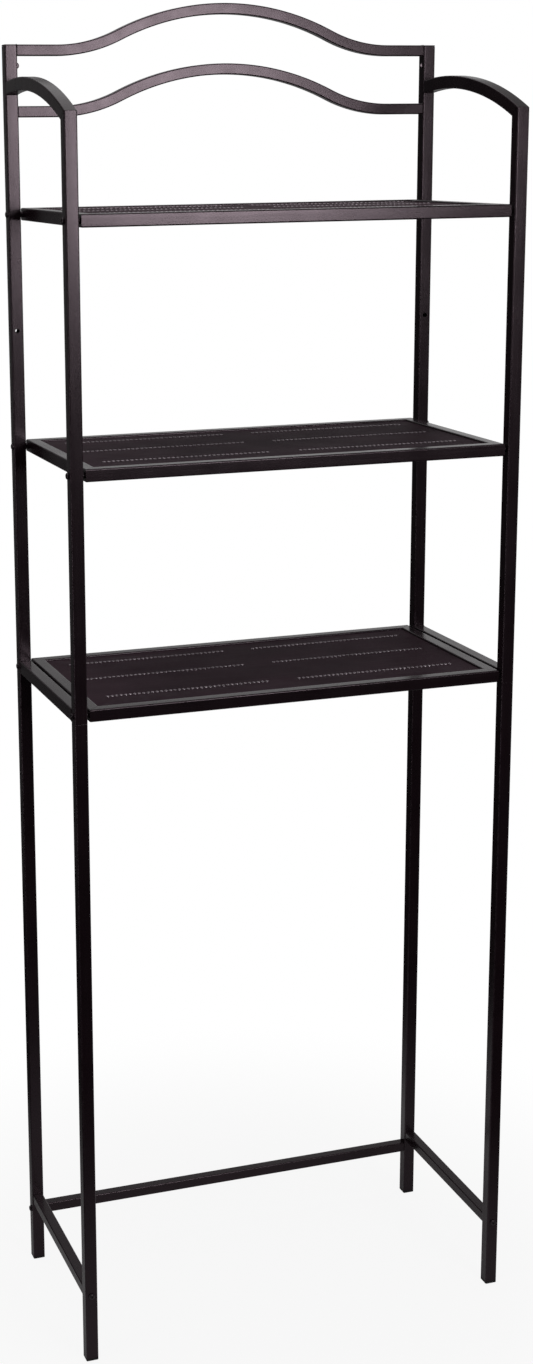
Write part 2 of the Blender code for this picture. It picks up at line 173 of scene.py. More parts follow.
class EffectLibrary:
    """Shader node groups that the finishes share, each built on first use."""

    CLOUD_EDGE = (0.3, 0.7)
    FLECK_SCALE = 1500.0
    FLECK_EDGE = (0.26, 0.12)       # from a fleck's rim to its middle
    PATCH_SCALE = 22.0
    STREAK_SCALE = 0.6
    # noise that breaks up the lighter edges, which are wear and a painted edge highlight
    WEAR_AND_HIGHLIGHT_EDGE = (0.38, 0.68)
    WEAR_AND_HIGHLIGHT_RAGGED = 0.65
    DUST_SLOPE = (0.55, 0.98)       # how much a face looks up, from no dust to all of it
    DUST_EDGE = (0.3, 0.75)
    DUST_RAGGED = 0.7

    def __init__(self) -> None:
        """Start with no groups."""
        self.groups: dict[str, NodeTree] = {}

    def place(self, wiring: Wiring, effect: Callable[[], NodeTree], inputs: dict) -> Node:
        """Put a group into a material's tree.

        Args:
            wiring: the material's nodes.
            effect: the method that builds the group.
            inputs: values or sockets for the group's inputs.

        Returns:
            The group node.
        """
        name = effect.__name__
        if name not in self.groups:
            self.groups[name] = effect()
        return wiring.node("Group", inputs, node_tree=self.groups[name])

    def start(
        self, name: str, inputs: dict[str, str], outputs: dict[str, str]
    ) -> tuple[Wiring, bpy.types.NodeOutputs, bpy.types.NodeInputs]:
        """Make an empty group with named sockets.

        Args:
            name: the group's name.
            inputs: input names and their kinds.
            outputs: output names and their kinds.

        Returns:
            The group's nodes, the sockets of what it is given and those of what it puts out.
        """
        tree = bpy.data.node_groups.new(name, "ShaderNodeTree")
        for way, sockets in (("INPUT", inputs), ("OUTPUT", outputs)):
            for label, kind in sockets.items():
                tree.interface.new_socket(
                    name=label, in_out=way, socket_type=f"NodeSocket{kind}"
                )
        given = tree.nodes.new("NodeGroupInput").outputs
        out = tree.nodes.new("NodeGroupOutput").inputs
        return Wiring(tree), given, out

    def coat_tone(self) -> NodeTree:
        """Colour of the coat: cloudy blotches, drawn lines and fine metallic flecks.

        Returns:
            The group's tree.
        """
        wiring, given, out = self.start(
            "coat_tone",
            {
                "Vector": "Vector",
                "Colour": "Color",
                "Deep Colour": "Color",
                "Fleck Colour": "Color",
                "Blotch Scale": "Float",
                "Line Stretch": "Vector",
                "Line Amount": "Float",
                "Fleck Amount": "Float",
            },
            {"Colour": "Color"},
        )
        place = given["Vector"]
        clouds = wiring.ramp(wiring.noise(place, given["Blotch Scale"], detail=4.0), self.CLOUD_EDGE)
        cloudy = wiring.blend(clouds, given["Deep Colour"], given["Colour"])
        stretched = wiring.vector("MULTIPLY", place, given["Line Stretch"])
        lines = wiring.math("SUBTRACT", wiring.noise(stretched, 1.0, detail=3.0), 0.5)
        gain = wiring.math("MULTIPLY_ADD", lines, given["Line Amount"], 1.0)
        lined = wiring.node("VectorMath", {0: cloudy, "Scale": gain}, operation="SCALE")
        cells = wiring.node("TexVoronoi", {"Vector": place, "Scale": self.FLECK_SCALE})
        dots = wiring.ramp(cells.outputs["Distance"], self.FLECK_EDGE)
        flecks = wiring.math("MULTIPLY", dots, given["Fleck Amount"])
        flecked = wiring.blend(flecks, lined.outputs["Vector"], given["Fleck Colour"])
        wiring.join(flecked, out["Colour"])
        return wiring.tree

    def coat_skin(self) -> NodeTree:
        """Orange-peel height of the coat and the small changes in its gloss.

        Returns:
            The group's tree.
        """
        wiring, given, out = self.start(
            "coat_skin",
            {
                "Vector": "Vector",
                "Peel Scale": "Float",
                "Grit Scale": "Float",
                "Grit Share": "Float",
                "Line Stretch": "Vector",
                "Roughness": "Float",
                "Roughness Spread": "Float",
            },
            {"Height": "Float", "Roughness": "Float"},
        )
        place = given["Vector"]
        peel = wiring.noise(place, given["Peel Scale"], detail=2.0)
        grit = wiring.noise(place, given["Grit Scale"], detail=1.0)
        height = wiring.math("MULTIPLY_ADD", grit, given["Grit Share"], peel)
        patches = wiring.noise(place, self.PATCH_SCALE, detail=5.0)
        stretched = wiring.vector("MULTIPLY", place, given["Line Stretch"])
        streaks = wiring.noise(stretched, self.STREAK_SCALE, detail=3.0)
        offset = wiring.math("SUBTRACT", wiring.math("ADD", patches, streaks), 1.0)
        gloss = wiring.math(
            "MULTIPLY_ADD", offset, given["Roughness Spread"], given["Roughness"]
        )
        wiring.join(height, out["Height"])
        wiring.join(gloss, out["Roughness"])
        return wiring.tree

    def edge_wear_and_highlight(self) -> NodeTree:
        """Mask of the rubbed coat along rounded edges, broken up by noise; the same lighter edge is
        also a painted highlight.

        Returns:
            The group's tree.
        """
        wiring, given, out = self.start(
            "edge_wear_and_highlight",
            {"Vector": "Vector", "Edge": "Float", "Scale": "Float", "Amount": "Float"},
            {"Mask": "Float"},
        )
        noise = wiring.noise(given["Vector"], given["Scale"], detail=6.0, roughness=self.WEAR_AND_HIGHLIGHT_RAGGED)
        broken = wiring.ramp(noise, self.WEAR_AND_HIGHLIGHT_EDGE)
        along = wiring.math("MULTIPLY", broken, given["Edge"])
        wiring.join(wiring.math("MULTIPLY", along, given["Amount"]), out["Mask"])
        return wiring.tree

    def fine_dust(self) -> NodeTree:
        """Mask of the thin dust on faces that look up.

        Returns:
            The group's tree.
        """
        wiring, given, out = self.start(
            "fine_dust",
            {"Vector": "Vector", "Normal": "Vector", "Scale": "Float", "Amount": "Float"},
            {"Mask": "Float"},
        )
        upward = wiring.node("SeparateXYZ", {"Vector": given["Normal"]}).outputs["Z"]
        noise = wiring.noise(given["Vector"], given["Scale"], detail=7.0, roughness=self.DUST_RAGGED)
        facing = wiring.ramp(upward, self.DUST_SLOPE)
        settled = wiring.math("MULTIPLY", facing, wiring.ramp(noise, self.DUST_EDGE))
        wiring.join(wiring.math("MULTIPLY", settled, given["Amount"]), out["Mask"])
        return wiring.tree


EFFECTS = EffectLibrary()


class Grain(Enum):
    """Stretch of the faint lines that drawing the tube leaves in its face."""

    ALONG_X = (14.0, 520.0, 520.0)
    ALONG_Y = (520.0, 14.0, 520.0)
    ALONG_Z = (520.0, 520.0, 14.0)
    NONE = (90.0, 90.0, 90.0)


@dataclass(frozen=True)
class Finish:
    """One surface finish and the material that shows it."""

    name: str
    slot: str
    colour: Colour
    deep: Colour
    fleck: Colour
    # lighter colour along rounded edges: wear, and a painted edge highlight
    wear_and_highlight_colour: Colour
    roughness: float
    specular: float
    metallic: float = 0.0
    tint: Colour = (1.0, 0.80, 0.90)
    dust: Colour = (0.11, 0.10, 0.10)
    roughness_spread: float = 0.10
    blotch_scale: float = 26.0
    line_amount: float = 0.22
    fleck_amount: float = 0.25
    wear_and_highlight_scale: float = 70.0
    wear_and_highlight_amount: float = 0.45
    dust_scale: float = 45.0
    dust_amount: float = 0.05
    peel_scale: float = 620.0
    grit_scale: float = 2400.0
    grit_share: float = 0.3
    bump_strength: float = 0.22
    bump_height: float = 0.00012

    def material(self, grain: Grain) -> Material:
        """The finish's material, made once for each grain direction.

        Args:
            grain: direction of the drawn lines.

        Returns:
            The material.
        """
        name = f"{self.name}_{grain.name.lower()}"
        if name in bpy.data.materials:
            return bpy.data.materials[name]
        made = bpy.data.materials.new(name)
        made.use_nodes = True
        wiring = Wiring(made.node_tree)
        place = wiring.node("TexCoord").outputs["Object"]
        skin = self.skin(wiring, place, grain)
        bump = wiring.node(
            "Bump",
            {
                "Height": skin.outputs["Height"],
                "Strength": self.bump_strength,
                "Distance": self.bump_height,
            },
        )
        shader = made.node_tree.nodes["Principled BSDF"]
        shader.inputs["Metallic"].default_value = self.metallic
        shader.inputs["Specular IOR Level"].default_value = self.specular
        shader.inputs["Specular Tint"].default_value = (*self.tint, 1.0)
        wiring.join(self.surface_colour(wiring, place, grain), shader.inputs["Base Color"])
        wiring.join(skin.outputs["Roughness"], shader.inputs["Roughness"])
        wiring.join(bump.outputs["Normal"], shader.inputs["Normal"])
        return made

    def skin(self, wiring: Wiring, place: NodeSocket, grain: Grain) -> Node:
        """The coat's skin at this finish's scales.

        Args:
            wiring: the material's nodes.
            place: socket with the place on the piece.
            grain: direction of the drawn lines.

        Returns:
            Node that puts out the height and the roughness.
        """
        return EFFECTS.place(
            wiring,
            EFFECTS.coat_skin,
            {
                "Vector": place,
                "Peel Scale": self.peel_scale,
                "Grit Scale": self.grit_scale,
                "Grit Share": self.grit_share,
                "Line Stretch": grain.value,
                "Roughness": self.roughness,
                "Roughness Spread": self.roughness_spread,
            },
        )

    def surface_colour(self, wiring: Wiring, place: NodeSocket, grain: Grain) -> NodeSocket:
        """The coat's tone, rubbed and lightened along the edges as wear and painted highlight, and
        dusted on top.

        Args:
            wiring: the material's nodes.
            place: socket with the place on the piece.
            grain: direction of the drawn lines.

        Returns:
            Socket with the colour.
        """
        tone = EFFECTS.place(
            wiring,
            EFFECTS.coat_tone,
            {
                "Vector": place,
                "Colour": (*self.colour, 1.0),
                "Deep Colour": (*self.deep, 1.0),
                "Fleck Colour": (*self.fleck, 1.0),
                "Blotch Scale": self.blotch_scale,
                "Line Stretch": grain.value,
                "Line Amount": self.line_amount,
                "Fleck Amount": self.fleck_amount,
            },
        )
        # Rounded edges are lightened: partly wear, partly a painted highlight along the edges.
        edge = wiring.node("Attribute", attribute_name=EDGE_FACE).outputs["Fac"]
        inputs = {"Edge": edge, "Scale": self.wear_and_highlight_scale, "Amount": self.wear_and_highlight_amount}
        wear_and_highlight_mask = EFFECTS.place(wiring, EFFECTS.edge_wear_and_highlight, {"Vector": place, **inputs})
        normal = wiring.node("NewGeometry").outputs["Normal"]
        inputs = {"Normal": normal, "Scale": self.dust_scale, "Amount": self.dust_amount}
        dust = EFFECTS.place(wiring, EFFECTS.fine_dust, {"Vector": place, **inputs})
        worn_and_highlighted = wiring.blend(
            wear_and_highlight_mask.outputs["Mask"], tone.outputs["Colour"], (*self.wear_and_highlight_colour, 1.0)
        )
        return wiring.blend(dust.outputs["Mask"], worn_and_highlighted, (*self.dust, 1.0))


BRONZE = Finish(
    name="bronze_coat",
    slot="frame_paint",
    colour=(0.0070, 0.0030, 0.0045),
    deep=(0.0045, 0.0019, 0.0029),
    fleck=(0.030, 0.018, 0.023),
    wear_and_highlight_colour=(0.030, 0.020, 0.025),
    roughness=0.26,
    specular=0.5,
)
PANEL_BRONZE = Finish(
    name="panel_coat",
    slot="panel_paint",
    colour=(0.047, 0.0250, 0.0350),
    deep=(0.031, 0.0160, 0.0228),
    fleck=(0.052, 0.033, 0.042),
    wear_and_highlight_colour=(0.055, 0.039, 0.047),
    roughness=0.66,
    specular=0.05,
    roughness_spread=0.16,
    blotch_scale=12.0,
    line_amount=0.16,
    wear_and_highlight_amount=0.6,
    dust_amount=0.02,
)
# Light metallic coat of the panels' raised collars, far lighter than the panel's own coat: a painted
# glint that makes the collars shine.
COLLAR_GLINT_BRONZE = Finish(
    name="collar_painted_glint",
    slot="panel_paint",
    colour=(0.42, 0.35, 0.39),
    deep=(0.30, 0.25, 0.28),
    fleck=(0.50, 0.44, 0.47),
    wear_and_highlight_colour=(0.48, 0.42, 0.45),
    roughness=0.24,
    specular=0.6,
    metallic=0.7,
    tint=(1.0, 1.0, 1.0),
    bump_strength=0.1,
)
WELD_BRONZE = Finish(
    name="weld_coat",
    slot="frame_paint",
    colour=BRONZE.colour,
    deep=BRONZE.deep,
    fleck=BRONZE.fleck,
    wear_and_highlight_colour=(0.022, 0.015, 0.018),
    roughness=0.36,
    specular=0.5,
    wear_and_highlight_amount=0.2,
    peel_scale=380.0,
    bump_strength=0.6,
    bump_height=0.0003,
)
BLACK_STEEL = Finish(
    name="black_steel",
    slot="fastener_black",
    colour=(0.016, 0.014, 0.015),
    deep=(0.010, 0.009, 0.0095),
    fleck=(0.06, 0.055, 0.058),
    wear_and_highlight_colour=(0.11, 0.10, 0.105),
    roughness=0.24,
    specular=0.8,
    metallic=0.3,
    blotch_scale=220.0,
    line_amount=0.1,
    wear_and_highlight_amount=0.5,
    peel_scale=1500.0,
    grit_scale=4200.0,
    bump_strength=0.15,
)
BLACK_PLASTIC = Finish(
    name="black_plastic",
    slot="foot_plastic",
    colour=(0.0070, 0.0064, 0.0068),
    deep=(0.0048, 0.0043, 0.0046),
    fleck=(0.014, 0.013, 0.0135),
    wear_and_highlight_colour=(0.03, 0.028, 0.029),
    roughness=0.5,
    specular=0.45,
    tint=(1.0, 1.0, 1.0),
    blotch_scale=90.0,
    line_amount=0.06,
    fleck_amount=0.1,
    wear_and_highlight_amount=0.5,
    peel_scale=1300.0,
    grit_scale=3600.0,
    bump_strength=0.35,
)


def middle_of(node: str) -> Vector:
    """Middle of a CAD node's box."""
    low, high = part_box(node)
    return (low + high) / 2


def verts_in(geom: Iterable) -> list[BMVert]:
    """Corners among the elements that an operator made."""
    return [item for item in geom if isinstance(item, BMVert)]


def rim_in(geom: Iterable) -> list[BMEdge]:
    """Open edges among the elements that an operator made."""
    return [item for item in geom if isinstance(item, BMEdge) and item.is_boundary]


def edges_at(verts: Iterable[BMVert]) -> list[BMEdge]:
    """Edges that meet at any of the corners."""
    return list(dict.fromkeys(edge for vert in verts for edge in vert.link_edges))


def verts_of(edges: Iterable[BMEdge]) -> list[BMVert]:
    """Corners of some edges, each once."""
    return list(dict.fromkeys(vert for edge in edges for vert in edge.verts))


def seat_matrix(origin: Vector, across: Vector, along: Vector) -> Matrix:
    """Matrix that takes local X to across, local Z to along and the centre to origin.

    Args:
        origin: where the local centre goes.
        across: direction of local X.
        along: direction of local Z.

    Returns:
        The 4x4 matrix.
    """
    turn = Matrix((across, along.cross(across), along)).transposed()
    return Matrix.Translation(origin) @ turn.to_4x4()


def extend(bm: BMesh, rim: list[BMEdge], move: Vector) -> list[BMEdge]:
    """Draw a rim of edges out into faces.

    Args:
        bm: the mesh.
        rim: open edges.
        move: how far and which way.

    Returns:
        The new rim.
    """
    made = bmesh.ops.extrude_edge_only(bm, edges=rim)["geom"]
    bmesh.ops.translate(bm, vec=move, verts=verts_in(made))
    return rim_in(made)


def soften(bm: BMesh, edges: list[BMEdge], radius: float, steps: int) -> None:
    """Round some edges.

    Args:
        bm: the mesh.
        edges: the edges.
        radius: how far the rounding reaches.
        steps: faces across the rounding.
    """
    bmesh.ops.bevel(
        bm, geom=edges, offset=radius, segments=steps, profile=0.5, affect="EDGES", material=-1
    )


def ring_of(edges: list[BMEdge]) -> list[BMEdge]:
    """The edges that form one ring with the first edge.

    Args:
        edges: edges of one ring or more.

    Returns:
        The ring's edges.
    """
    left = dict.fromkeys(edges[1:])
    ring = [edges[0]]
    for edge in ring:
        for other in edges_at(edge.verts):
            if other in left:
                del left[other]
                ring.append(other)
    return ring


def bridge(bm: BMesh, edges: list[BMEdge], apart: Vector) -> None:
    """Join two rings of edges with faces.

    Rings in one plane round one centre would join twisted, so one ring is held away from the
    other meanwhile.

    Args:
        bm: mesh that has the rings.
        edges: edges of both rings.
        apart: direction in which to hold them apart.
    """
    held = verts_of(ring_of(edges))
    bmesh.ops.translate(bm, vec=apart * HOLD_APART, verts=held)
    bmesh.ops.bridge_loops(bm, edges=edges)
    bmesh.ops.translate(bm, vec=-apart * HOLD_APART, verts=held)


def rounded_square(bm: BMesh, half: float, corner: float, steps: int) -> list[BMEdge]:
    """Closed loop of edges round a square with rounded corners, in the XY plane.

    Args:
        bm: mesh that gets the loop.
        half: half the square's width.
        corner: corner radius.
        steps: edges in each corner.

    Returns:
        The loop's edges.
    """
    known = set(bm.faces)
    square = bmesh.ops.create_grid(bm, x_segments=1, y_segments=1, size=half)["verts"]
    bmesh.ops.bevel(
        bm,
        geom=square,
        offset=corner,
        segments=steps,
        profile=0.5,
        affect="VERTICES",
        material=-1,
    )
    face = next(face for face in bm.faces if face not in known)
    loop = list(face.edges)
    bmesh.ops.delete(bm, geom=[face], context="FACES_ONLY")
    return loop


def cylinder(bm: BMesh, radius: float, depth: float, sides: int, matrix: Matrix) -> None:
    """Add a closed cylinder.

    Args:
        bm: mesh that gets it.
        radius: its radius.
        depth: its length.
        sides: faces round it.
        matrix: where its middle and its Z axis go.
    """
    bmesh.ops.create_cone(
        bm,
        cap_ends=True,
        segments=sides,
        radius1=radius,
        radius2=radius,
        depth=depth,
        matrix=matrix,
    )


def drilled(bm: BMesh, drill: BMesh) -> BMesh:
    """Cut one closed mesh out of another.

    Args:
        bm: the mesh that is cut, freed afterwards.
        drill: the shape to cut away, freed afterwards.

    Returns:
        The cut mesh.
    """
    pair = []
    for name, source in (("blank", bm), ("drill", drill)):
        mesh = bpy.data.meshes.new(name)
        source.to_mesh(mesh)
        source.free()
        pair.append(bpy.data.objects.new(name, mesh))
        bpy.context.scene.collection.objects.link(pair[-1])
    step = pair[0].modifiers.new("drill", "BOOLEAN")
    step.operation = "DIFFERENCE"
    step.object = pair[1]
    cut = bmesh.new()
    cut.from_object(pair[0], bpy.context.evaluated_depsgraph_get())
    for item in pair:
        bpy.data.meshes.remove(item.data)
    return cut


@dataclass(frozen=True)
class Dress:
    """How a mesh becomes a finished piece."""

    finish: Finish
    grain: Grain = Grain.NONE
    edge_width: float = 0.0009      # faces narrower than this are rounded edges

    def mark_edges(self, bm: BMesh) -> None:
        """Give narrow faces, which are the rounded edges, the value 1 in their own layer.

        Args:
            bm: the mesh.
        """
        layer = bm.faces.layers.float.new(EDGE_FACE)
        for face in bm.faces:
            longest = max(edge.calc_length() for edge in face.edges)
            face[layer] = 1.0 if face.calc_area() < self.edge_width * longest else 0.0

    def piece(self, name: str, bm: BMesh, *nodes: str) -> Object:
        """Turn a mesh into a piece that rides on the rack.

        Args:
            name: the piece's name.
            bm: the mesh, freed afterwards.
            *nodes: CAD nodes that the piece stands for.

        Returns:
            The new object.
        """
        bmesh.ops.remove_doubles(bm, verts=bm.verts, dist=MERGE)
        bmesh.ops.recalc_face_normals(bm, faces=bm.faces)
        self.mark_edges(bm)
        mesh = bpy.data.meshes.new(name)
        bm.to_mesh(mesh)
        bm.free()
        mesh.shade_smooth()
        mesh.set_sharp_from_angle(angle=SHARP_ANGLE)
        mesh.materials.append(self.finish.material(self.grain))
        made = bpy.data.objects.new(name, mesh)
        bpy.context.scene.collection.objects.link(made)
        flatten = made.modifiers.new("flat_faces", "WEIGHTED_NORMAL")
        flatten.keep_sharp = True
        flatten.weight = FLAT_WEIGHT
        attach(made, BODY)
        if nodes:
            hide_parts(*nodes)
        return made


@dataclass(frozen=True)
class Section:
    """Cross-section of a square steel tube."""

    size: float
    corner: float = 0.0018
    wall: float = 0.0009
    steps: int = 5

    def loops(self, bm: BMesh) -> list[BMEdge]:
        """Draw the outer and inner outline of the tube's end in the XY plane.

        Args:
            bm: mesh that gets them.

        Returns:
            The edges of both.
        """
        half = self.size / 2
        outer = rounded_square(bm, half, self.corner, self.steps)
        inner = rounded_square(bm, half - self.wall, self.corner - self.wall, self.steps)
        return outer + inner


WIDE = Section(0.0165)
SHELF = Section(0.016)
SLIM = Section(0.0141, corner=0.0016)


class TubeRun:
    """Square tube drawn from its section along straights and bends."""

    RIM = 0.00022       # rounding of the sawn ends
    RIM_STEPS = 2

    def __init__(self, section: Section, start: Vector, across: Vector, along: Vector) -> None:
        """Place the section at the tube's start.

        Args:
            section: the tube's section.
            start: middle of the tube's first end.
            across: direction of the section's own X.
            along: direction in which the tube leaves the start.
        """
        self.along = along.normalized()
        self.bm = bmesh.new()
        self.first = section.loops(self.bm)
        self.last = self.first
        matrix = seat_matrix(start, across.normalized(), self.along)
        bmesh.ops.transform(self.bm, matrix=matrix, verts=self.bm.verts)

    def straight(self, length: float) -> "TubeRun":
        """Draw the tube straight on by a length."""
        self.last = extend(self.bm, self.last, self.along * length)
        return self

    def bend(self, centre: Vector, axis: Vector, angle: float, steps: int) -> None:
        """Bend the tube round an axis.

        Args:
            centre: a point on the axis.
            axis: direction of the axis.
            angle: angle of the bend.
            steps: lengths of tube in the bend.
        """
        made = bmesh.ops.spin(
            self.bm,
            geom=verts_of(self.last) + self.last,
            cent=centre,
            axis=axis,
            dvec=(0.0, 0.0, 0.0),
            angle=angle,
            steps=steps,
            use_merge=False,
            use_normal_flip=False,
            use_duplicate=False,
        )["geom_last"]
        self.last = rim_in(made)
        self.along = Matrix.Rotation(angle, 3, axis) @ self.along

    def mitre(self, edges: list[BMEdge], point: Vector, normal: Vector) -> None:
        """Slide an end's corners along the tube until they lie in a plane.

        Args:
            edges: the end's edges.
            point: a point in the plane.
            normal: the plane's normal.
        """
        for vert in verts_of(edges):
            slide = (point - vert.co).dot(normal) / self.along.dot(normal)
            bmesh.ops.translate(self.bm, vec=self.along * slide, verts=[vert])

    def cut(self, point: Vector, normal: Vector) -> None:
        """Saw the tube through a plane and drop the end on the normal's side.

        Args:
            point: a point in the plane.
            normal: the plane's normal.
        """
        last_drops = (self.last[0].verts[0].co - point).dot(normal) > 0
        geom = [*self.bm.verts, *self.bm.edges, *self.bm.faces]
        made = bmesh.ops.bisect_plane(
            self.bm, geom=geom, dist=MERGE, plane_co=point, plane_no=normal, clear_outer=True
        )["geom_cut"]
        if last_drops:
            self.last = rim_in(made)
        else:
            self.first = rim_in(made)

    def close(self) -> BMesh:
        """Close both ends of the tube's wall and soften their rims.

        Returns:
            The tube's mesh.
        """
        for edges in (self.first, self.last):
            bridge(self.bm, edges, self.along)
        bmesh.ops.recalc_face_normals(self.bm, faces=self.bm.faces)
        soften(self.bm, self.first + self.last, self.RIM, self.RIM_STEPS)
        return self.bm


@dataclass
class Uprights:
    """Posts, legs and their caps."""

    section: Section = WIDE
    hole_radius: float = 0.003
    hole_drop: float = 0.362        # wall-screw holes below the tops of the posts' caps
    hole_sides: int = 32
    drill_overrun: float = 0.004    # past each face of the post
    cap_round: float = 0.0009
    cap_round_steps: int = 4
    foot_plate: float = 0.003       # thickness under the leg
    top_plate: float = 0.0015       # thickness over the post

    def build(self) -> None:
        """Make every upright with its cap."""
        for side in SIDES:
            self.rear_post(side)
            self.front_post(side)
            for end in ENDS:
                self.leg(end, side)
                self.foot(end, side)
            self.top_cap(side)
            log.info("uprights on the %s side", side)

    def tube(self, node: str, low_z: float, high_z: float) -> TubeRun:
        """Upright tube in the place of a CAD node.

        Args:
            node: the CAD node.
            low_z: height of its lower end.
            high_z: height of its upper end.

        Returns:
            The tube, open at both ends.
        """
        start = middle_of(node)
        start.z = low_z
        return TubeRun(self.section, start, X, Z).straight(high_z - low_z)

    def dress(self, bm: BMesh, node: str) -> None:
        """Make a mesh the tube of a node, with its drawn lines along Z."""
        Dress(BRONZE, Grain.ALONG_Z).piece(f"{node}_tube", bm, node)

    def rear_post(self, side: str) -> None:
        """Rear post with its front-to-back hole for a wall screw.

        Args:
            side: the rack's side.
        """
        node = f"rear_post_{side}"
        low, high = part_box(node)
        _, cap_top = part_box(f"post_cap_{side}")
        place = middle_of(node)
        place.z = cap_top.z - self.hole_drop
        drill = bmesh.new()
        depth = self.section.size + 2 * self.drill_overrun
        cylinder(drill, self.hole_radius, depth, self.hole_sides, seat_matrix(place, X, Y))
        self.dress(drilled(self.tube(node, low.z, high.z).close(), drill), node)

    def front_post(self, side: str) -> None:
        """Front post whose top is mitred to the side arch.

        Args:
            side: the rack's side.
        """
        node = f"front_post_{side}"
        low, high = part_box(node)
        run = self.tube(node, low.z, high.z)
        run.mitre(run.last, *SideArches().mitre_plane(side))
        self.dress(run.close(), node)

    def leg(self, end: str, side: str) -> None:
        """Lower leg, seen up to the post that it plugs into.

        Args:
            end: the rack's front or rear.
            side: the rack's side.
        """
        node = f"{end}_leg_{side}"
        low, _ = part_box(node)
        above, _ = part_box(f"{end}_post_{side}")
        self.dress(self.tube(node, low.z, above.z - GAP).close(), node)

    def foot(self, end: str, side: str) -> None:
        """Plastic foot cap under a leg.

        Args:
            end: the rack's front or rear.
            side: the rack's side.
        """
        node = f"foot_cap_{end}_{side}"
        low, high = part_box(node)
        bm = self.cap(self.foot_plate, high.z - low.z)
        bmesh.ops.translate(bm, vec=middle_of(node) + Z * (low.z - high.z) / 2, verts=bm.verts)
        Dress(BLACK_PLASTIC).piece(f"{node}_moulded", bm, node)

    def top_cap(self, side: str) -> None:
        """Steel cap on top of a rear post.

        Args:
            side: the rack's side.
        """
        node = f"post_cap_{side}"
        low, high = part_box(node)
        bm = self.cap(self.top_plate, high.z - low.z)
        bmesh.ops.scale(bm, vec=(1.0, -1.0, -1.0), verts=bm.verts)
        bmesh.ops.translate(bm, vec=middle_of(node) + Z * (high.z - low.z) / 2, verts=bm.verts)
        Dress(BRONZE).piece(f"{node}_plate", bm, node)

    def cap(self, thickness: float, length: float) -> BMesh:
        """Square cap with its rounded plate at z = 0 and a plug above it.

        Args:
            thickness: how thick the plate is.
            length: length of the plate and the plug.

        Returns:
            The cap's mesh.
        """
        bm = bmesh.new()
        section = self.section
        outline = rounded_square(bm, section.size / 2, section.corner, section.steps)
        bmesh.ops.edgeloop_fill(bm, edges=outline)
        plate = bmesh.ops.extrude_face_region(bm, geom=bm.faces[:])["geom"]
        bmesh.ops.translate(bm, vec=Z * thickness, verts=verts_in(plate))
        bmesh.ops.recalc_face_normals(bm, faces=bm.faces)
        seat = max(bm.faces, key=lambda face: face.calc_center_median().z)
        inset = section.wall + GAP
        bmesh.ops.inset_individual(bm, faces=[seat], thickness=inset, use_even_offset=True)
        plug = bmesh.ops.extrude_face_region(bm, geom=[seat])["geom"]
        bmesh.ops.delete(bm, geom=[seat], context="FACES_ONLY")
        bmesh.ops.translate(bm, vec=Z * (length - thickness), verts=verts_in(plug))
        rim = [edge for edge in bm.edges if all(abs(vert.co.z) < MERGE for vert in edge.verts)]
        soften(bm, rim, self.cap_round, self.cap_round_steps)
        return bm


@dataclass
class SideArches:
    """Arched arms from the rear posts down to the front posts."""

    section: Section = WIDE
    radius: float = 0.487
    crown: float = 0.0636       # crown in front of the rear post's front face
    steps: int = 56             # lengths of tube in the bend
    overrun: float = 0.05       # past each joint, to be sawn off

    def build(self) -> None:
        """Make both side arches."""
        for side in SIDES:
            self.arch(side)
            log.info("side arch %s", side)

    def centre(self, side: str) -> Vector:
        """Middle of the circle that the arch follows.

        Args:
            side: the rack's side.

        Returns:
            The middle.
        """
        middle = middle_of(f"side_arch_{side}")
        _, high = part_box(f"side_arch_{side}")
        post_front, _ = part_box(f"rear_post_{side}")
        middle.y = post_front.y - self.crown
        middle.z = high.z - self.radius - self.section.size / 2
        return middle

    def mitre_plane(self, side: str) -> tuple[Vector, Vector]:
        """Joint between arch and front post.

        Args:
            side: the rack's side.

        Returns:
            A point of the joint's plane and its normal, which points into the post.
        """
        low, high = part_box(f"front_post_{side}")
        middle = self.centre(side)
        reach = middle.y - low.y - self.section.size
        inner = self.radius - self.section.size / 2
        inner_z = middle.z + math.sqrt(inner**2 - reach**2)
        slope = Vector((0.0, self.section.size, inner_z - high.z))
        return Vector((middle.x, low.y, high.z)), slope.cross(X).normalized()

    def arch(self, side: str) -> None:
        """One arch, cut flat at the rear post and mitred at the front post.

        Args:
            side: the rack's side.
        """
        node = f"side_arch_{side}"
        middle = self.centre(side)
        post_front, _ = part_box(f"rear_post_{side}")
        joint, into_post = self.mitre_plane(side)
        back = math.asin((post_front.y + self.overrun - middle.y) / self.radius)
        front = math.asin((middle.y - joint.y + self.overrun) / self.radius)
        start = middle + Vector((0.0, math.sin(back), math.cos(back))) * self.radius
        along = Vector((0.0, -math.cos(back), math.sin(back)))
        run = TubeRun(self.section, start, X, along)
        run.bend(middle, X, back + front, self.steps)
        run.cut(Vector((0.0, post_front.y - GAP, 0.0)), Y)
        run.cut(joint - into_post * GAP, into_post)
        Dress(BRONZE).piece(f"{node}_tube", run.close(), node)


